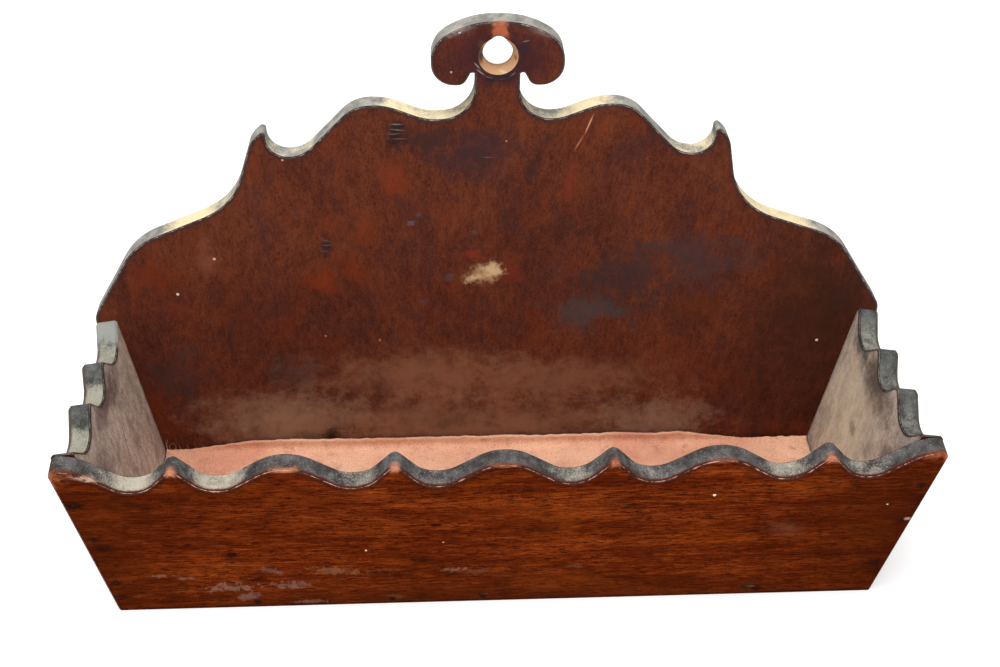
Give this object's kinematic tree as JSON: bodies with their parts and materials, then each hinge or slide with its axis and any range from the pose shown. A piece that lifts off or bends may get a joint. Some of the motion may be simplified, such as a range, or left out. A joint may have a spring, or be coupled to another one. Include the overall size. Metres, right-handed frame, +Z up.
{
  "type": "candle box",
  "caption": "Open hanging box with splayed sides, scalloped front and side rims, and a tall scrolled back board with a hanging hole.",
  "frame": {"origin": "centre of the bounding box in width and depth, at the base", "axes": "+Z up, -Y towards the front board, +X to the right of someone facing the front"},
  "size_m": [0.346, 0.1096, 0.2224],
  "materials": {
    "back_wood": "old dark mahogany, worn satin",
    "front_wood": "red-brown mahogany, satin",
    "side_wood": "bare, dusty inside",
    "bottom_wood": "unfinished",
    "lining_cloth": "faded dusty pink cloth",
    "brad_iron": "dark, oxidised"
  },
  "bodies": {
    "root": {"back_board": "back_wood", "front_board": "front_wood", "left_side_board": "side_wood", "right_side_board": "side_wood", "bottom_board": "bottom_wood", "bottom_lining": "lining_cloth", "front_left_brads": "brad_iron", "front_right_brads": "brad_iron", "back_left_brads": "brad_iron", "back_right_brads": "brad_iron", "front_foot_brads": "brad_iron", "back_foot_brads": "brad_iron", "left_foot_brads": "brad_iron", "right_foot_brads": "brad_iron"}
  },
  "joints": []
}
